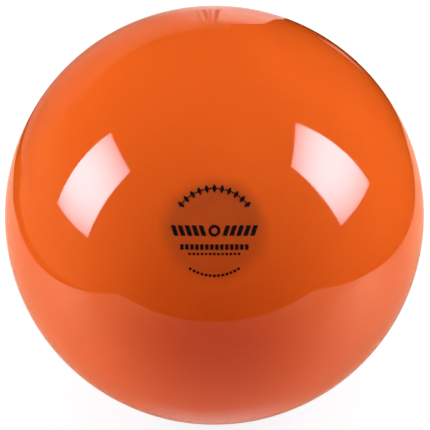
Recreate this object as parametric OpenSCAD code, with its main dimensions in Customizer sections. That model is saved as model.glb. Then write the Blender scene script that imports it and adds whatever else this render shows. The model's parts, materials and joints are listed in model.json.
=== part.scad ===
// Gymnastics ball: a hollow one-piece PVC skin with a flush plug valve, a balance disc on the
// inner wall opposite the valve, and a printed mark on the outside in front of that disc.
// The origin is the centre of the ball and +Z is up. Every piece is drawn on the valve's own
// axis, with the valve at +Z and the print at -Z, and as_it_lies() turns it into place.

/* [Ball] */
// Outside diameter of the ball
ball_d = 190; // [160:1:200]
// Thickness of the skin
wall_t = 3.1; // [2.6:0.1:4]
// How far the print is tilted above the horizon, in degrees
print_tilt = 30; // [0:5:60]

/* [Valve seat] */
// Diameter of the flange that is let into the skin
flange_d = 22; // [20:0.5:26]
// Thickness of the flange
flange_t = 1.6; // [1.5:0.1:1.9]
// Outside diameter of the tube
tube_d = 13; // [12:0.5:14]
// Length of the tube inside the skin
tube_l = 12; // [10:1:16]
// Diameter of the bore
bore_d = 5; // [4.6:0.1:5.4]

/* [Valve plug] */
// Diameter of the head
head_d = 9; // [8:0.5:9.5]
// Thickness of the head on its axis
head_t = 1.2; // [1:0.05:1.3]
// Length of the shank below the head
shank_l = 14; // [11:0.5:15]
// Number of sealing ribs around the shank
ribs = 3; // [2:1:4]

/* [Balance disc] */
// Diameter of the disc
disc_d = 45; // [40:1:50]

/* [Print] */
// Width of the printed mark
print_w = 37; // [32:1:44]
// Thickness of the ink
ink_t = 0.1; // [0.08:0.01:0.2]

/* [Hidden] */
$fn = 96;

outer_r = ball_d / 2;
inner_r = outer_r - wall_t;

// Collar of the skin that grips the tube of the valve seat
collar_wall = 2.5;
collar_l = 5;
collar_d = tube_d + 2 * collar_wall;

// The head lies in a counterbore, a little clear of its wall and of its floor
head_play = 0.15;
floor_play = 0.1;
head_base = outer_r - head_t;

// Scoop in the flange, where a fingernail lifts the head
scoop_r = 3;
scoop_depth = 1;
scoop_at = head_d / 2 + 0.9;

// The ribs run in the bore with 0.05 mm of clearance all round, and the core is slimmer
rib_d = bore_d - 0.1;
core_d = bore_d - 0.8;
rib_w = 1.2;
tip_l = 1.6;
rib_pitch = (shank_l - tip_l - rib_w) / ribs;

// The disc balances the ball about its centre, so its thickness follows from the moment of
// what the valve adds inside the skin: volume times distance from the centre
tube_volume = PI * pow(tube_d / 2, 2) * tube_l;
collar_volume = PI * (pow(collar_d / 2, 2) - pow(tube_d / 2, 2)) * collar_l;
valve_moment = tube_volume * (inner_r - tube_l / 2) + collar_volume * (inner_r - collar_l / 2);
disc_t = valve_moment / (PI * pow(disc_d / 2, 2) * inner_r);

// The disc thins towards its rim, over this width
disc_taper = 3;

// The mark is drawn 40 mm wide and scaled to print_w. Its middle row is a ring between two sets
// of slanted stripes.
mark_scale = print_w / 40;
ring_r = 2.7;
ring_hole_r = 1.5;
stripes = 5;
stripe_w = 2;
stripe_h = 4.8;
stripe_slant = 1.6;
stripe_pitch = 3.2;
stripe_gap = 1;

// An arc of diamonds and dots runs over the middle row, and an arc of dots under it
diamonds = 11;
diamond_w = 2.3;
diamond_h = 4;
upper_arc_r = 19.4;
upper_half_angle = 52;
upper_dot_d = 0.8;
lower_dots = 13;
lower_dot_d = 1.3;
lower_arc_r = 21;
lower_half_angle = 32;

// Two straight rows lie between the middle row and the lower arc: one of blocks, one of dots
blocks = 14;
block_w = 1.5;
block_h = 2.5;
block_pitch = 2.3;
block_row_y = -7.6;
row_dots = 13;
row_dot_d = 1.2;
row_dot_pitch = 1.9;
dot_row_y = -10.8;

// A piece drawn on the valve's axis, turned to where it is when the ball lies with its print up
module as_it_lies() {
    rotate([-(90 + print_tilt), 0, 0]) children();
}

// The layer between two radii about the centre of the ball
module layer(outside, inside) {
    difference() {
        sphere(r = outside);
        sphere(r = inside);
    }
}

// A rod on the axis from low to high, cut off flush with the outside of the ball
module flush_rod(d, low) {
    intersection() {
        translate([0, 0, low]) cylinder(d = d, h = outer_r - low + 1);
        sphere(r = outer_r);
    }
}

// The part of a layer just under the outside that lies within a round patch on the valve side
module flush_patch(d, thickness) {
    intersection() {
        layer(outer_r, outer_r - thickness);
        cylinder(d = d, h = outer_r + 1);
    }
}

module skin() {
    color("orangered") as_it_lies() difference() {
        union() {
            layer(outer_r, inner_r);
            translate([0, 0, inner_r - collar_l]) cylinder(d = collar_d, h = collar_l);
        }
        translate([0, 0, inner_r - collar_l - 1]) cylinder(d = tube_d, h = collar_l + wall_t + 2);
        difference() {
            cylinder(d = flange_d, h = outer_r + 1);
            sphere(r = outer_r - flange_t);
        }
    }
}

module valve_seat() {
    bottom = inner_r - tube_l;
    color("tomato") as_it_lies() difference() {
        union() {
            flush_patch(flange_d, flange_t);
            flush_rod(tube_d, bottom);
        }
        translate([0, 0, bottom - 1]) cylinder(d = bore_d, h = tube_l + wall_t + 2);
        translate([0, 0, head_base - floor_play]) cylinder(r = head_d / 2 + head_play, h = head_t + 1);
        translate([scoop_at, 0, outer_r - scoop_depth + scoop_r]) sphere(r = scoop_r);
    }
}

// One sealing rib: a short band with a lead-in below it
module rib() {
    cylinder(d1 = core_d, d2 = rib_d, h = rib_w / 2);
    translate([0, 0, rib_w / 2]) cylinder(d = rib_d, h = rib_w / 2);
}

module valve_plug() {
    color("ivory") as_it_lies() {
        flush_rod(head_d, head_base);
        translate([0, 0, head_base - shank_l + tip_l]) cylinder(d = core_d, h = shank_l - tip_l);
        translate([0, 0, head_base - shank_l]) cylinder(d1 = core_d / 2, d2 = core_d, h = tip_l);
        for (i = [0 : ribs - 1])
            translate([0, 0, head_base - shank_l + tip_l + i * rib_pitch]) rib();
    }
}

// The rim is cut by a cone, which meets the wall at the full diameter
module balance_disc() {
    rim_r = disc_d / 2;
    rim_z = sqrt(inner_r * inner_r - rim_r * rim_r);
    low = rim_z - disc_t;
    slope = disc_taper / disc_t;
    color("sienna") as_it_lies() mirror([0, 0, 1]) intersection() {
        layer(inner_r, inner_r - disc_t);
        translate([0, 0, low])
            cylinder(r1 = rim_r - disc_taper, r2 = rim_r + slope * (inner_r - rim_z), h = inner_r - low);
    }
}

module diamond() {
    polygon([[-diamond_w / 2, 0], [0, -diamond_h / 2], [diamond_w / 2, 0], [0, diamond_h / 2]]);
}

// A stripe that leans away from the ring
module stripe() {
    polygon([
        [0, -stripe_h / 2],
        [stripe_w, -stripe_h / 2],
        [stripe_w + stripe_slant, stripe_h / 2],
        [stripe_slant, stripe_h / 2]
    ]);
}

// Children repeated along an arc about the middle of the mark, evenly over its half angle
module along_arc(r, count, half_angle, middle) {
    for (i = [0 : count - 1])
        rotate(middle + half_angle * (2 * i / (count - 1) - 1)) translate([r, 0]) rotate(-90) children();
}

// Children repeated along a straight row
module along_row(count, pitch, y) {
    for (i = [0 : count - 1]) translate([(i - (count - 1) / 2) * pitch, y]) children();
}

// The whole mark, seen from outside with up along +Y
module mark_outline() {
    difference() {
        circle(r = ring_r);
        circle(r = ring_hole_r);
    }
    for (side = [0, 1], i = [0 : stripes - 1])
        mirror([side, 0]) translate([ring_r + stripe_gap + i * stripe_pitch, 0]) stripe();
    along_arc(upper_arc_r, diamonds, upper_half_angle, 90) diamond();
    along_arc(upper_arc_r, diamonds - 1, upper_half_angle * (diamonds - 2) / (diamonds - 1), 90)
        circle(d = upper_dot_d);
    along_row(blocks, block_pitch, block_row_y) square([block_w, block_h], center = true);
    along_row(row_dots, row_dot_pitch, dot_row_y) circle(d = row_dot_d);
    along_arc(lower_arc_r, lower_dots, lower_half_angle, -90) circle(d = lower_dot_d);
}

module printed_mark() {
    color("black") as_it_lies() intersection() {
        layer(outer_r + ink_t, outer_r);
        mirror([0, 0, 1]) linear_extrude(outer_r + 1) mirror([0, 1]) scale(mark_scale) mark_outline();
    }
}

skin();
valve_seat();
valve_plug();
balance_disc();
printed_mark();
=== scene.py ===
"""A glossy orange gymnastics ball: a hollow PVC skin with a flush plug valve at the back, a
balance disc behind the printed mark at the front, and the plug that pulls out of the valve."""

import json
import math

import bpy
import numpy as np
from mathutils import Matrix, Vector


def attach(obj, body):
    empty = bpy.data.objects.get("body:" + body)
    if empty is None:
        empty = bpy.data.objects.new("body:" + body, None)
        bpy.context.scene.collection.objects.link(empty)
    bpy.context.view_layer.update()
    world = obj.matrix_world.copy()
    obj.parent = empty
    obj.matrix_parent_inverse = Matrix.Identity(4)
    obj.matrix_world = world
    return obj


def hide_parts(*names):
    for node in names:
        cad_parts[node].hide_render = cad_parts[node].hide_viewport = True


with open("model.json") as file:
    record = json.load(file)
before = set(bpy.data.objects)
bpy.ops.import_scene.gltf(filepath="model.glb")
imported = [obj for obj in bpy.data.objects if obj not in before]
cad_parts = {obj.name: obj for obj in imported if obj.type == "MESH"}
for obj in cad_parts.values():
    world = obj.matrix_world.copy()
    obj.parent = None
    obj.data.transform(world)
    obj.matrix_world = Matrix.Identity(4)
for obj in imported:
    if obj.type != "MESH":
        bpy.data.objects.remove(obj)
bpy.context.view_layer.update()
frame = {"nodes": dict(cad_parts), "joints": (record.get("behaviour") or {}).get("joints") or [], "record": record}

MM = 0.001

# ---------------------------------------------------------------- the frame's own sizes
# Every piece but the print is turned about the valve's axis, which runs through the middle of
# the ball, out at the valve and, the other way, out at the middle of the print.
VALVE_AXIS = Vector(frame["joints"][0]["axis"]).normalized()
BALL_R = -frame["record"]["mounts"][0]["pos_m"][2]


def polar(node):
    """Each vertex of a CAD node as (distance off the valve's axis, distance along it)."""
    points = np.array([v.co for v in frame["nodes"][node].data.vertices])
    along = points @ np.array(VALVE_AXIS)
    off = np.linalg.norm(points - np.outer(along, np.array(VALVE_AXIS)), axis=1)
    return off, along


seat_off, seat_along = polar("valve_seat")
plug_off, plug_along = polar("valve_plug")
disc_off, disc_along = polar("balance_disc")
skin_off, skin_along = polar("skin")
seat_far = np.hypot(seat_off, seat_along)
disc_far = np.hypot(disc_off, disc_along)
skin_far = np.hypot(skin_off, skin_along)

INNER_R = disc_far.max()
FLANGE_R = seat_off.max()
FLANGE_T = BALL_R - seat_far[seat_off > 0.99 * FLANGE_R].min()
TUBE_R = seat_off[seat_far < INNER_R].max()
TUBE_LOW = seat_along.min()
BORE_R = seat_off.min()
COLLAR_R = skin_off[skin_far < 0.995 * INNER_R].max()
COLLAR_LOW = skin_along[skin_far < 0.995 * INNER_R].min()
HEAD_R = plug_off.max()
HEAD_BASE = plug_along[plug_off > 0.99 * HEAD_R].min()
PLUG_TIP = plug_along.min()
DISC_R = disc_off.max()
DISC_T = INNER_R - disc_far.min()
HEAD_PLAY = 0.15 * MM
FLOOR_PLAY = 0.1 * MM
SCOOP_R = 3 * MM
SCOOP_DEPTH = 1 * MM
SCOOP_AT = HEAD_R + 0.9 * MM
# The longest step along a small piece's profile
FINE = 0.3 * MM


# ---------------------------------------------------------------- profiles and turned pieces
# A profile point nearer the axis than this is on it
ON_AXIS = 1e-7


def sphere_arc(radius, start, end, count):
    """Profile points on a sphere about the centre, between two angles from the valve's axis."""
    angles = np.linspace(start, end, count)
    return [(radius * math.sin(a), radius * math.cos(a), 0.0) for a in angles]


def on_sphere(radius, off):
    """The angle from the valve's axis at which a sphere is this far off the axis."""
    return math.asin(off / radius)


def rounded(profile, steps=6):
    """A profile of (off, along, fillet radius) with each stated corner turned into an arc."""
    result = []
    for i, (off, along, fillet) in enumerate(profile):
        if fillet == 0.0:
            result.append((off, along))
            continue
        corner = Vector((off, along))
        before = Vector(profile[i - 1][:2]) - corner
        after = Vector(profile[(i + 1) % len(profile)][:2]) - corner
        half = before.angle(after) / 2
        reach = min(fillet / math.tan(half), 0.49 * before.length, 0.49 * after.length)
        start = corner + before.normalized() * reach
        end = corner + after.normalized() * reach
        for k in range(steps + 1):
            t = k / steps
            point = start * (1 - t) ** 2 + corner * 2 * t * (1 - t) + end * t ** 2
            result.append((point.x, point.y))
    return result


def divided(profile, longest):
    """The same profile with points added so that no step is over the longest, but for a step
    along the axis, which makes no face."""
    result = []
    for i, here in enumerate(profile):
        there = profile[(i + 1) % len(profile)]
        length = math.hypot(there[0] - here[0], there[1] - here[1])
        along_axis = max(here[0], there[0]) < ON_AXIS
        count = 1 if along_axis else max(1, math.ceil(length / longest))
        for k in range(count):
            t = k / count
            result.append((here[0] + (there[0] - here[0]) * t, here[1] + (there[1] - here[1]) * t))
    return result


def turned(name, profile, segments):
    """A closed piece: the profile turned about the valve's axis. A point on the axis is one
    vertex."""
    across = VALVE_AXIS.orthogonal().normalized()
    other = VALVE_AXIS.cross(across)
    vertices, rings = [], []
    for off, along in profile:
        ring = []
        count = 1 if off < ON_AXIS else segments
        for k in range(count):
            a = 2 * math.pi * k / segments
            side = (across * math.cos(a) + other * math.sin(a)) * off
            vertices.append(VALVE_AXIS * along + side)
            ring.append(len(vertices) - 1)
        rings.append(ring)
    faces = []
    for low, high in zip(rings, rings[1:] + rings[:1]):
        if len(low) == 1 and len(high) == 1:
            continue
        for k in range(segments):
            after = (k + 1) % segments
            if len(low) == 1:
                faces.append((low[0], high[after], high[k]))
            elif len(high) == 1:
                faces.append((low[k], low[after], high[0]))
            else:
                faces.append((low[k], low[after], high[after], high[k]))
    mesh = bpy.data.meshes.new(name)
    mesh.from_pydata(vertices, [], faces)
    mesh.validate()
    mesh.shade_smooth()
    piece = bpy.data.objects.new(name, mesh)
    bpy.context.scene.collection.objects.link(piece)
    face_outwards(mesh)
    return piece


def face_outwards(mesh):
    """Turns the faces over if the closed mesh's volume comes out negative."""
    mesh.calc_loop_triangles()
    volume = 0.0
    for tri in mesh.loop_triangles:
        a, b, c = (mesh.vertices[i].co for i in tri.vertices)
        volume += a.dot(b.cross(c))
    if volume < 0:
        mesh.flip_normals()


def finish_piece(piece, body, node, material):
    """Puts a piece on its body, in the place of its CAD node, in its material."""
    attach(piece, body)
    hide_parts(node)
    piece.data.materials.append(material)


# ---------------------------------------------------------------- node materials
class Nodes:
    """Short ways to add and join nodes of one material."""

    def __init__(self, name):
        self.material = bpy.data.materials.new(name)
        self.material.use_nodes = True
        self.tree = self.material.node_tree
        self.shader = self.tree.nodes["Principled BSDF"]
        self.place = self.tree.nodes.new("ShaderNodeTexCoord").outputs["Object"]

    def add(self, kind, inputs=(), **settings):
        """A new node. Inputs are (socket name or number, value or socket) pairs."""
        node = self.tree.nodes.new(kind)
        for key, value in settings.items():
            setattr(node, key, value)
        for socket, value in inputs:
            self.feed(node.inputs[socket], value)
        return node

    def feed(self, socket, value):
        if isinstance(value, bpy.types.NodeSocket):
            self.tree.links.new(value, socket)
        else:
            socket.default_value = value

    def set(self, **values):
        """Sets the shader's sockets. Underscores in the names stand for spaces."""
        for name, value in values.items():
            self.feed(self.shader.inputs[name.replace("_", " ")], value)

    def noise(self, scale, detail=2.0, roughness=0.5, distortion=0.0):
        wave = self.add("ShaderNodeTexNoise", [
            ("Vector", self.place), ("Scale", scale), ("Detail", detail),
            ("Roughness", roughness), ("Distortion", distortion),
        ])
        return wave.outputs["Fac"]

    def math(self, operation, a, b=0.0):
        return self.add("ShaderNodeMath", [(0, a), (1, b)], operation=operation).outputs[0]

    def product(self, first, *others):
        for other in others:
            first = self.math("MULTIPLY", first, other)
        return first

    def remap(self, value, low, high, to_low=0.0, to_high=1.0, smooth=True):
        """Value from low..high to to_low..to_high, held at the ends."""
        node = self.add("ShaderNodeMapRange", [
            ("Value", value), ("From Min", low), ("From Max", high),
            ("To Min", to_low), ("To Max", to_high),
        ])
        node.interpolation_type = "SMOOTHSTEP" if smooth else "LINEAR"
        return node.outputs["Result"]

    def mix(self, factor, a, b):
        """Colour a where the factor is 0, and b where it is 1."""
        node = self.add("ShaderNodeMix", data_type="RGBA")
        self.feed(node.inputs["Factor"], factor)
        self.feed(node.inputs[6], a)
        self.feed(node.inputs[7], b)
        return node.outputs[2]

    def bump(self, height, distance, normal=None):
        node = self.add("ShaderNodeBump", [("Height", height), ("Distance", distance)])
        if normal is not None:
            self.feed(node.inputs["Normal"], normal)
        return node.outputs["Normal"]

    def coordinates(self):
        """A point's X, Y and Z."""
        split = self.add("ShaderNodeSeparateXYZ", [("Vector", self.place)])
        return split.outputs["X"], split.outputs["Y"], split.outputs["Z"]

    def from_middle(self):
        """How far a point is from the middle of the ball."""
        return self.add("ShaderNodeVectorMath", [(0, self.place)],
                        operation="LENGTH").outputs["Value"]

    def from_value(self, value, middle):
        """How far a value is from its middle, to either side."""
        return self.math("ABSOLUTE", self.math("SUBTRACT", value, middle))

    def from_axis(self):
        """How far a point is off the valve's axis, and 1 on the print's side of the ball."""
        along = self.add("ShaderNodeVectorMath", [(0, self.place), (1, VALVE_AXIS)],
                         operation="DOT_PRODUCT").outputs["Value"]
        on_axis = self.add("ShaderNodeVectorMath", [(0, VALVE_AXIS), ("Scale", along)],
                           operation="SCALE").outputs[0]
        off = self.add("ShaderNodeVectorMath", [(0, self.place), (1, on_axis)],
                       operation="DISTANCE").outputs["Value"]
        front = self.math("LESS_THAN", along, 0.0)
        return off, front


def grey(level):
    return (level, level, level, 1)


PVC_ORANGE = (0.67, 0.118, 0.0130, 1)
PVC_LIGHT = (0.71, 0.130, 0.0155, 1)
# The colour of the painted shade: the disc's shadow seen through the skin
PVC_DISC_SHADOW = (0.28, 0.062, 0.018, 1)
PVC_WORN = (0.9, 0.45, 0.25, 1)


def pvc_material():
    """The ball's glossy, slightly translucent orange PVC, with painted shade where the disc backs it."""
    n = Nodes("ball_pvc")
    clouds = n.noise(14, detail=3, distortion=0.6)
    colour = n.mix(n.remap(clouds, 0.35, 0.65), PVC_ORANGE, PVC_LIGHT)
    # Painted shade: the disc's shadow seen through the translucent skin, soft-edged and blotchy, weaker at its
    # middle and stronger higher up
    off, front = n.from_axis()
    mottle = n.math("MULTIPLY", n.math("SUBTRACT", n.noise(90, detail=2), 0.5), 5 * MM)
    edge = n.remap(n.math("ADD", off, mottle), DISC_R + 3 * MM, DISC_R - 6 * MM)
    ring = n.remap(off, 0.35 * DISC_R, 0.6 * DISC_R, 0.93, 1.0)
    _, _, height = n.coordinates()
    uneven = n.remap(height, 0.20 * BALL_R, 0.75 * BALL_R, 0.36, 0.70)
    blotches = n.remap(n.noise(110, detail=1), 0.3, 0.7, 0.92, 1.08)
    colour = n.mix(n.product(edge, front, ring, uneven, blotches), colour, PVC_DISC_SHADOW)
    scuffs = n.remap(n.noise(420, detail=4, roughness=0.7, distortion=1.5), 0.66, 0.74)
    patches = n.remap(n.noise(30, detail=2), 0.5, 0.7)
    worn = n.math("MULTIPLY", scuffs, patches)
    colour = n.mix(n.math("MULTIPLY", worn, 0.10), colour, PVC_WORN)
    roughness = n.remap(n.noise(60, detail=3), 0.3, 0.7, 0.035, 0.055)
    roughness = n.math("ADD", roughness, n.math("MULTIPLY", worn, 0.12))
    wave = n.bump(n.noise(38, detail=1), 0.02 * MM)
    normal = n.bump(worn, 0.01 * MM, normal=wave)
    n.set(Base_Color=colour, Roughness=roughness, Normal=normal, IOR=1.54,
          Subsurface_Weight=0.25, Subsurface_Radius=(0.010, 0.003, 0.001), Subsurface_Scale=1.0)
    return n.material


def seat_material():
    """The valve seat's PVC: the same orange, duller, with fine moulding grain."""
    n = Nodes("seat_pvc")
    colour = n.mix(n.remap(n.noise(90, detail=3), 0.35, 0.65), (0.62, 0.075, 0.005, 1),
                   (0.72, 0.10, 0.008, 1))
    dust = n.remap(n.noise(1400, detail=3), 0.58, 0.75)
    colour = n.mix(n.math("MULTIPLY", dust, 0.12), colour, (0.8, 0.5, 0.35, 1))
    n.set(Base_Color=colour, Roughness=n.remap(n.noise(500), 0.3, 0.7, 0.28, 0.42),
          Normal=n.bump(n.noise(1500, detail=2), 0.02 * MM), IOR=1.54)
    return n.material


def plug_material():
    """The plug's natural nylon: off-white and waxy, a little uneven in colour."""
    n = Nodes("plug_nylon")
    colour = n.mix(n.remap(n.noise(300, detail=4), 0.35, 0.7), (0.78, 0.73, 0.62, 1),
                   (0.66, 0.60, 0.48, 1))
    n.set(Base_Color=colour, Roughness=n.remap(n.noise(900), 0.3, 0.7, 0.3, 0.45),
          Normal=n.bump(n.noise(1800, detail=2), 0.015 * MM), IOR=1.53,
          Subsurface_Weight=0.2, Subsurface_Radius=(0.002, 0.0015, 0.001), Subsurface_Scale=1.0)
    return n.material


def disc_material():
    """The balance disc's filled PVC, dark and matt."""
    n = Nodes("disc_pvc")
    colour = n.mix(n.remap(n.noise(200, detail=4), 0.3, 0.7), (0.16, 0.035, 0.01, 1),
                   (0.24, 0.06, 0.02, 1))
    n.set(Base_Color=colour, Roughness=n.remap(n.noise(400), 0.3, 0.7, 0.5, 0.7),
          Normal=n.bump(n.noise(900, detail=3), 0.05 * MM))
    return n.material


def ink_material():
    """The print's black ink, slightly uneven where it took on the PVC."""
    n = Nodes("mark_ink")
    thin = n.remap(n.noise(1200, detail=3), 0.55, 0.75)
    colour = n.mix(n.math("MULTIPLY", thin, 0.35), (0.006, 0.005, 0.006, 1),
                   (0.035, 0.016, 0.012, 1))
    n.set(Base_Color=colour, Roughness=n.remap(n.noise(800), 0.3, 0.7, 0.18, 0.30),
          Normal=n.bump(n.noise(2200, detail=2), 0.006 * MM), IOR=1.5)
    return n.material


# ---------------------------------------------------------------- the pieces
def make_skin():
    """The closed shell: outside, flange recess, hole, collar and inside, in one turned profile."""
    recess_r = FLANGE_R + 0.03 * MM
    floor_r = BALL_R - FLANGE_T
    lip = 0.35 * MM
    root = 0.6 * MM
    edge = on_sphere(BALL_R, recess_r)
    collar_top = math.sqrt(INNER_R ** 2 - COLLAR_R ** 2)
    outside = sphere_arc(BALL_R, math.pi, edge, count=150)
    outside[-1] = (outside[-1][0], outside[-1][1], lip)
    floor_edge = on_sphere(floor_r, recess_r)
    floor_end = on_sphere(floor_r, TUBE_R)
    recess = sphere_arc(floor_r, floor_edge, floor_end, count=8)
    hole = [(TUBE_R, COLLAR_LOW, 0.4 * MM), (COLLAR_R, COLLAR_LOW, 0.8 * MM)]
    inside = sphere_arc(INNER_R, on_sphere(INNER_R, COLLAR_R), math.pi, count=90)
    inside[0] = (COLLAR_R, collar_top, root)
    profile = rounded(outside + recess + hole + inside)
    skin = turned("ball_skin", profile, segments=192)
    finish_piece(skin, "ball", "skin", pvc_material())


def make_valve_seat():
    """The insert: flush flange with a counterbore and a fingernail scoop, and a tube below it."""
    well_r = HEAD_R + HEAD_PLAY
    well_floor = HEAD_BASE - FLOOR_PLAY
    top = sphere_arc(BALL_R, on_sphere(BALL_R, well_r), on_sphere(BALL_R, FLANGE_R), count=50)
    top[0] = (*top[0][:2], 0.2 * MM)
    top[-1] = (*top[-1][:2], 0.35 * MM)
    floor_r = BALL_R - FLANGE_T
    under = sphere_arc(floor_r, on_sphere(floor_r, FLANGE_R), on_sphere(floor_r, TUBE_R), count=6)
    tube = [(TUBE_R, TUBE_LOW, 0.8 * MM), (BORE_R, TUBE_LOW, 0.4 * MM)]
    well = [(BORE_R, well_floor, 0.15 * MM), (well_r, well_floor, 0.15 * MM)]
    profile = divided(rounded(top + under + tube + well), FINE)
    seat = turned("valve_seat_insert", profile, segments=144)
    cut_scoop(seat.data, well_r, well_floor)
    finish_piece(seat, "ball", "valve_seat", seat_material())


def cut_scoop(mesh, well_r, well_floor):
    """Lowers the flange into a round scoop beside the well, where a fingernail lifts the head."""
    centre = VALVE_AXIS * (BALL_R - SCOOP_DEPTH + SCOOP_R) + Vector((SCOOP_AT, 0, 0))
    inside_wall = well_r - 0.01 * MM
    near_wall = well_r + 0.12 * MM
    for vertex in mesh.vertices:
        along = vertex.co.dot(VALVE_AXIS)
        side = vertex.co - VALVE_AXIS * along
        from_scoop = (side - Vector((SCOOP_AT, 0, 0))).length
        if from_scoop >= SCOOP_R or side.length < inside_wall or along < well_floor:
            continue
        bottom = centre.dot(VALVE_AXIS) - math.sqrt(SCOOP_R ** 2 - from_scoop ** 2)
        top = math.sqrt(BALL_R ** 2 - side.length ** 2)
        if bottom >= top:
            continue
        if side.length < near_wall:
            share = (along - well_floor) / (top - well_floor)
            vertex.co += VALVE_AXIS * ((bottom - top) * max(0.0, share))
        elif along > bottom:
            vertex.co += VALVE_AXIS * (bottom - along)
    mesh.update()


def make_valve_plug():
    """The plug: dished flush head, shank with three sealing ribs, and a rounded tip."""
    rib_r = BORE_R - 0.05 * MM
    core_r = BORE_R - 0.4 * MM
    dish_r = 0.45 * HEAD_R
    head = [(0.0, BALL_R - 0.25 * MM, 0.0), (dish_r, BALL_R - 0.2 * MM, 0.4 * MM)]
    rim = sphere_arc(BALL_R, on_sphere(BALL_R, 0.55 * HEAD_R), on_sphere(BALL_R, HEAD_R), count=8)
    rim[0] = (*rim[0][:2], 0.3 * MM)
    rim[-1] = (*rim[-1][:2], 0.25 * MM)
    under = [(HEAD_R, HEAD_BASE, 0.2 * MM), (core_r, HEAD_BASE, 0.3 * MM)]
    ribs = 3
    rib_w = 1.2 * MM
    tip_l = 1.6 * MM
    pitch = (HEAD_BASE - PLUG_TIP - tip_l - rib_w) / ribs
    shank = []
    for i in reversed(range(ribs)):
        low = PLUG_TIP + tip_l + i * pitch
        shank += [(core_r, low + rib_w, 0.1 * MM), (rib_r, low + rib_w, 0.15 * MM),
                  (rib_r, low + rib_w / 2, 0.15 * MM), (core_r, low, 0.15 * MM)]
    tip = [(core_r / 2, PLUG_TIP, 0.5 * MM), (0.0, PLUG_TIP, 0.0)]
    profile = divided(rounded(head + rim + under + shank + tip), FINE)
    plug = turned("valve_plug_body", profile, segments=96)
    finish_piece(plug, "plug", "valve_plug", plug_material())


def make_balance_disc():
    """The disc on the inner wall behind the print, thinning to its rim."""
    outer = sphere_arc(INNER_R, math.pi, math.pi - on_sphere(INNER_R, DISC_R), count=24)
    outer[-1] = (*outer[-1][:2], 0.15 * MM)
    low_r = INNER_R - DISC_T
    inner = sphere_arc(low_r, math.pi - on_sphere(low_r, DISC_R - 3 * MM), math.pi, count=24)
    inner[0] = (*inner[0][:2], 1.0 * MM)
    disc = turned("balance_disc_body", rounded(outer + inner), segments=128)
    finish_piece(disc, "ball", "balance_disc", disc_material())


def finish_printed_mark():
    """The print's shape is right in CAD, so it stays, in the ink's material."""
    mark = frame["nodes"]["printed_mark"]
    mark.data.materials.clear()
    mark.data.materials.append(ink_material())


# ---------------------------------------------------------------- the studio
# The room's light is as warm as the light that scatters about inside a hollow orange ball
WARM = (1, 0.38, 0.14)
CAMERA_ELEVATION = math.radians(34)
CAMERA_DISTANCE = 1.5
LIGHT_DISTANCE = 1.0
PANEL_GLOW = 16.0
FLOOR_Z = -BALL_R
FLOOR_REACH = 6.0
# The flat things that show in reflections lie just under the floor that the camera sees
TABLE_Z = FLOOR_Z - 0.5 * MM
TABLE_BACK = 0.31
BACKDROP_Y = 0.7
BACKDROP_LEFT = -0.9
ROOM_WALL_X = -1.2
ROOM_WALL_FRONT = -0.75
ROOM_WALL_BACK = 1.25
ROOM_WALL_LOW = -0.5
ROOM_WALL_TOP = 0.6

# Outlines as (x, y), and the backdrop's as (x, z)
TABLE_OUTLINE = ((-0.30, -0.31), (0.345, -0.315), (0.32, -0.07), (0.30, 0.03), (0.26, 0.15),
                 (0.24, 0.30), (-0.10, 0.30), (-0.235, 0.22), (-0.272, 0.12), (-0.273, -0.08))
FOOT_OUTLINE = ((BACKDROP_LEFT, TABLE_BACK), (0.035, TABLE_BACK), (0.11, BACKDROP_Y),
                (BACKDROP_LEFT, BACKDROP_Y))
STRIP_OUTLINE = ((0.18, 0.57), (0.24, 0.54), (0.30, 0.88), (0.24, 0.90))
BACKDROP_OUTLINE = ((BACKDROP_LEFT, FLOOR_Z), (0.11, FLOOR_Z), (0.135, 0.10), (0.14, 0.18),
                    (0.115, 0.25), (0.06, 0.30), (0.05, 0.4), (BACKDROP_LEFT, 0.4))


def make_camera():
    """A long lens from a little above, with the ball filling the frame."""
    data = bpy.data.cameras.new("camera")
    data.sensor_width = 36
    data.lens = 276.6
    data.shift_x = 0.00144
    data.shift_y = 0.0002
    data.clip_start = 0.1
    data.clip_end = 50
    camera = bpy.data.objects.new("camera", data)
    back = Vector((0, -math.cos(CAMERA_ELEVATION), math.sin(CAMERA_ELEVATION)))
    camera.location = back * CAMERA_DISTANCE
    camera.rotation_mode = "QUATERNION"
    camera.rotation_quaternion = back.to_track_quat("Z", "Y")
    bpy.context.scene.collection.objects.link(camera)
    bpy.context.scene.camera = camera


def direction(azimuth, elevation):
    """Azimuth 0 is towards -Y and 90 towards +X, both in degrees."""
    a, e = math.radians(azimuth), math.radians(elevation)
    return Vector((math.sin(a) * math.cos(e), -math.cos(a) * math.cos(e), math.sin(e)))


def soft_box(name, azimuth, elevation, width, height, power, roll=0, yaw=0, pitch=0,
             distance=LIGHT_DISTANCE):
    """A rectangular lamp facing the ball, turned about its own axes by roll, yaw and pitch. It
    doesn't show in reflections; a panel in its place does."""
    data = bpy.data.lights.new(name, "AREA")
    data.shape = "RECTANGLE"
    data.size, data.size_y = width, height
    data.energy = power
    lamp = bpy.data.objects.new(name, data)
    out = direction(azimuth, elevation)
    lamp.location = out * distance
    facing = out.to_track_quat("Z", "Y").to_matrix()
    turn = (Matrix.Rotation(math.radians(yaw), 3, "Y")
            @ Matrix.Rotation(math.radians(pitch), 3, "X")
            @ Matrix.Rotation(math.radians(roll), 3, "Z"))
    lamp.rotation_mode = "QUATERNION"
    lamp.rotation_quaternion = (facing @ turn).to_quaternion()
    lamp.visible_camera = False
    lamp.visible_glossy = False
    bpy.context.scene.collection.objects.link(lamp)
    return lamp


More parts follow.
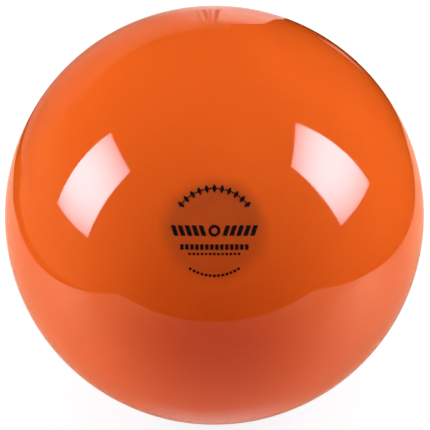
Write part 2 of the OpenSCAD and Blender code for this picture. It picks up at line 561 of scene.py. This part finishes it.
def glare_panel(lamp):
    """The lit face of a softbox, seen only in reflections: brightest in its middle."""
    half_w, half_h = lamp.data.size / 2, lamp.data.size_y / 2
    corners = [(-half_w, -half_h, 0), (half_w, -half_h, 0),
               (half_w, half_h, 0), (-half_w, half_h, 0)]
    n = Nodes(lamp.name + "_face")
    x, y, _ = n.coordinates()
    across = n.math("POWER", n.math("ABSOLUTE", n.math("DIVIDE", x, half_w)), 2.0)
    up = n.math("POWER", n.math("ABSOLUTE", n.math("DIVIDE", y, half_h)), 2.0)
    fall = n.math("ADD", n.math("MULTIPLY", up, 0.60), n.math("MULTIPLY", across, 0.10))
    n.set(Base_Color=grey(0), Specular_IOR_Level=0.0, Emission_Color=(0.90, 0.90, 1.04, 1),
          Emission_Strength=n.math("MULTIPLY", n.math("SUBTRACT", 1.0, fall), PANEL_GLOW))
    panel = flat_sheet(lamp.name + "_panel", corners, n.material)
    panel.location = lamp.location
    panel.rotation_mode = "QUATERNION"
    panel.rotation_quaternion = lamp.rotation_quaternion
    only_in_reflections(panel)


def only_in_reflections(sheet):
    sheet.visible_camera = False
    sheet.visible_diffuse = False
    sheet.visible_transmission = False
    sheet.visible_volume_scatter = False
    sheet.visible_shadow = False


def flat_sheet(name, corners, material):
    """A flat piece of the studio through these corners."""
    mesh = bpy.data.meshes.new(name)
    mesh.from_pydata(corners, [], [tuple(range(len(corners)))])
    mesh.materials.append(material)
    sheet = bpy.data.objects.new(name, mesh)
    bpy.context.scene.collection.objects.link(sheet)
    return sheet


def lying(outline, z):
    """The corners of an outline laid flat at this height."""
    return [(x, y, z) for x, y in outline]


def standing(outline, y):
    """The corners of an outline stood up facing the camera, this far back."""
    return [(x, y, z) for x, z in outline]


def strip_material():
    """Grey paper with a faint glow of painted light."""
    n = Nodes("strip_paper")
    tint = n.remap(n.noise(40, detail=3), 0.3, 0.7, 0.97, 1.0)
    n.set(Base_Color=n.mix(tint, grey(0.48), grey(0.5)), Roughness=0.9,
          Specular_IOR_Level=0.0, Emission_Color=grey(1), Emission_Strength=0.25)
    return n.material


# The table's painted light: its glow behind the ball and in front of it, in the dim middle of the
# front, in the ball's shade, at the point of contact and under the softboxes
GLOW_BEHIND = (0.38, 0.20, 0.12, 1)
GLOW_FRONT = (0.56, 0.17, 0.05, 1)
GLOW_DIM = (0.34, 0.01, 0.11, 1)
GLOW_SHADE = (0.04, 0.04, 0.01, 1)
GLOW_CONTACT = (0.42, 0.44, 0.42, 1)
GLOW_LIT = (1.20, 0.95, 0.70, 1)


def table_material():
    """White paper with painted light: a glow in the ball's orange bounce, and painted shade."""
    n = Nodes("table_paper")
    x, y, _ = n.coordinates()
    to_side = n.math("ABSOLUTE", x)
    front = n.remap(y, -0.02, -0.14)
    dim = n.product(n.remap(y, -0.08, -0.22), n.remap(to_side, 0.22, 0.06))
    shade = n.product(n.remap(n.from_middle(), 0.24, 0.14), n.remap(y, -0.08, -0.03),
                      n.remap(x, 0.04, 0.09, 0.55, 1.0))
    contact = n.product(n.remap(to_side, 0.055, 0.005),
                        n.remap(n.from_value(y, -0.055), 0.022, 0.004))
    lit = n.product(n.remap(n.from_value(x, -0.01), 0.06, 0.28),
                    n.remap(n.from_value(y, -0.085), 0.11, 0.0))
    # Painted shade: the paper's own colour is darker in the dim middle of the front and in the ball's shade
    colour = n.mix(dim, grey(0.85), grey(0.5))
    colour = n.mix(shade, colour, grey(0.78))
    # Painted light: the paper's glow, weakest in the ball's shade and brightest under the softboxes
    glow = n.mix(front, GLOW_BEHIND, GLOW_FRONT)
    glow = n.mix(dim, glow, GLOW_DIM)
    glow = n.mix(shade, glow, GLOW_SHADE)
    glow = n.mix(contact, glow, GLOW_CONTACT)
    glow = n.mix(lit, glow, GLOW_LIT)
    n.set(Base_Color=colour, Roughness=0.9, Specular_IOR_Level=0.0,
          Emission_Color=glow, Emission_Strength=1.0)
    return n.material


def floor_material():
    """White paper that glows, with a painted shadow under the ball, and pale grey far away."""
    n = Nodes("floor_paper")
    far = n.from_middle()
    # Painted shadow: a weaker glow close around the ball
    near = n.remap(far, 0.09, 0.20, 0.87, 1.0)
    away = n.remap(far, 0.45, 1.1, 1.0, 0.80)
    grain = n.remap(n.noise(400, detail=3), 0.3, 0.7, 0.995, 1.0)
    n.set(Base_Color=grey(0.2), Roughness=0.9, Specular_IOR_Level=0.0,
          Emission_Color=(0.93, 0.975, 1.0, 1), Emission_Strength=n.product(near, away, grain))
    return n.material


# Folds in the backdrop, lines of painted shade: where each starts, how far it leans, how dark and how wide it is
FOLDS = ((-0.036, -0.025, 0.55, 0.008), (-0.021, 0.0, 0.20, 0.008),
         (-0.009, -0.010, 0.40, 0.006), (0.007, -0.010, 0.08, 0.009))


def backdrop_material():
    """Pale card with folds of painted shade, glowing as painted light from the right and fading to the left and
    upwards.
    """
    n = Nodes("backdrop_paper")
    x, _, z = n.coordinates()
    near = n.remap(x, -0.14, 0.03, 0.34, 1.0)
    far = n.remap(x, -0.50, -0.22, 0.30, 1.0)
    higher = n.math("SUBTRACT", z, n.remap(x, -0.12, 0.02, 0.06, 0.0))
    upwards = n.remap(higher, 0.19, 0.35, 1.0, 0.0)
    level = n.product(near, far, upwards)
    smooth_foot = n.remap(z, -0.04, 0.03, 1.0, 0.0)
    for foot, lean, dark, width in FOLDS:
        middle = n.math("ADD", n.math("MULTIPLY", z, lean), foot)
        fold = n.remap(n.from_value(x, middle), 0.2 * width, width, dark, 1.0)
        level = n.math("MULTIPLY", level, n.math("MAXIMUM", fold, smooth_foot))
    # Painted shade low on the right
    low_right = n.product(n.remap(z, 0.06, -0.05), n.remap(x, 0.0, 0.04))
    level = n.product(level, n.remap(low_right, 0.0, 1.0, 1.0, 0.76, smooth=False), 0.82)
    glow = n.mix(near, (1.05, 0.42, 0.24, 1), (1.16, 0.92, 0.85, 1))
    n.set(Base_Color=grey(0.2), Roughness=0.9, Specular_IOR_Level=0.0,
          Emission_Color=glow, Emission_Strength=level)
    return n.material


def room_wall_material():
    """The room's warm wall on the left, a glow of painted light fading upwards, to the back and to the front."""
    n = Nodes("room_wall_glow")
    _, y, z = n.coordinates()
    level = n.product(n.remap(y, ROOM_WALL_BACK, 0.85), n.remap(y, ROOM_WALL_FRONT, -0.15),
                      n.remap(z, ROOM_WALL_TOP, 0.0))
    n.set(Base_Color=grey(0), Specular_IOR_Level=0.0, Emission_Color=(0.48, 0.30, 0.13, 1),
          Emission_Strength=level)
    return n.material


def make_floor():
    """The floor that the camera sees. It neither lights the pieces nor shows in them."""
    square = ((-FLOOR_REACH, -FLOOR_REACH), (FLOOR_REACH, -FLOOR_REACH),
              (FLOOR_REACH, FLOOR_REACH), (-FLOOR_REACH, FLOOR_REACH))
    floor = flat_sheet("floor", lying(square, FLOOR_Z), floor_material())
    floor.visible_glossy = False
    floor.visible_diffuse = False


def make_surroundings():
    """The things that show only as reflections, and in the light that they give the pieces."""
    card = backdrop_material()
    for name, corners, material in (
        ("table", lying(TABLE_OUTLINE, TABLE_Z), table_material()),
        ("backdrop", standing(BACKDROP_OUTLINE, BACKDROP_Y), card),
        ("backdrop_foot", lying(FOOT_OUTLINE, TABLE_Z), card),
        ("strip", lying(STRIP_OUTLINE, TABLE_Z), strip_material()),
    ):
        flat_sheet(name, corners, material).visible_camera = False
    only_in_reflections(flat_sheet("room_wall", [
        (ROOM_WALL_X, ROOM_WALL_FRONT, ROOM_WALL_LOW), (ROOM_WALL_X, ROOM_WALL_BACK, ROOM_WALL_LOW),
        (ROOM_WALL_X, ROOM_WALL_BACK, ROOM_WALL_TOP), (ROOM_WALL_X, ROOM_WALL_FRONT, ROOM_WALL_TOP),
    ], room_wall_material()))


def make_lamps():
    """A softbox on each side, each with its lit face, and a weak fill from above and behind."""
    glare_panel(soft_box("softbox_left", azimuth=-80.5, elevation=22.6, width=0.47, height=0.71,
                         power=9.0, roll=-0.7))
    glare_panel(soft_box("softbox_right", azimuth=80.0, elevation=30.9, width=0.495, height=0.775,
                         power=8.8, roll=11.6, yaw=22, pitch=10.9))
    soft_box("fill_top", azimuth=180, elevation=70, width=1.6, height=1.2, power=8.2, distance=1.6)


def make_world():
    """Pale grey to the camera, dark to reflections, and soft warm light from all round to the
    pieces, weaker from the camera's side."""
    world = bpy.data.worlds.new("studio")
    world.use_nodes = True
    world.cycles_visibility.glossy = False
    bpy.context.scene.world = world
    tree = world.node_tree
    path = tree.nodes.new("ShaderNodeLightPath")
    room = tree.nodes["Background"]
    room.inputs["Color"].default_value = (*WARM, 1)
    towards = tree.nodes.new("ShaderNodeTexCoord")
    split = tree.nodes.new("ShaderNodeSeparateXYZ")
    tree.links.new(towards.outputs["Generated"], split.inputs[0])
    front = tree.nodes.new("ShaderNodeMapRange")
    front.inputs["From Min"].default_value = -0.4
    front.inputs["From Max"].default_value = -1.0
    front.inputs["To Min"].default_value = 0.49
    front.inputs["To Max"].default_value = 0.29
    tree.links.new(split.outputs["Y"], front.inputs["Value"])
    tree.links.new(front.outputs["Result"], room.inputs["Strength"])
    pale = tree.nodes.new("ShaderNodeBackground")
    pale.inputs["Color"].default_value = (0.83, 0.82, 0.82, 1)
    pale.inputs["Strength"].default_value = 1.0
    mix = tree.nodes.new("ShaderNodeMixShader")
    tree.links.new(path.outputs["Is Camera Ray"], mix.inputs[0])
    tree.links.new(room.outputs[0], mix.inputs[1])
    tree.links.new(pale.outputs[0], mix.inputs[2])
    tree.links.new(mix.outputs[0], tree.nodes["World Output"].inputs["Surface"])
    bpy.context.scene.view_settings.view_transform = "Standard"


make_camera()
make_skin()
make_valve_seat()
make_valve_plug()
make_balance_disc()
finish_printed_mark()
make_floor()
make_surroundings()
make_lamps()
make_world()
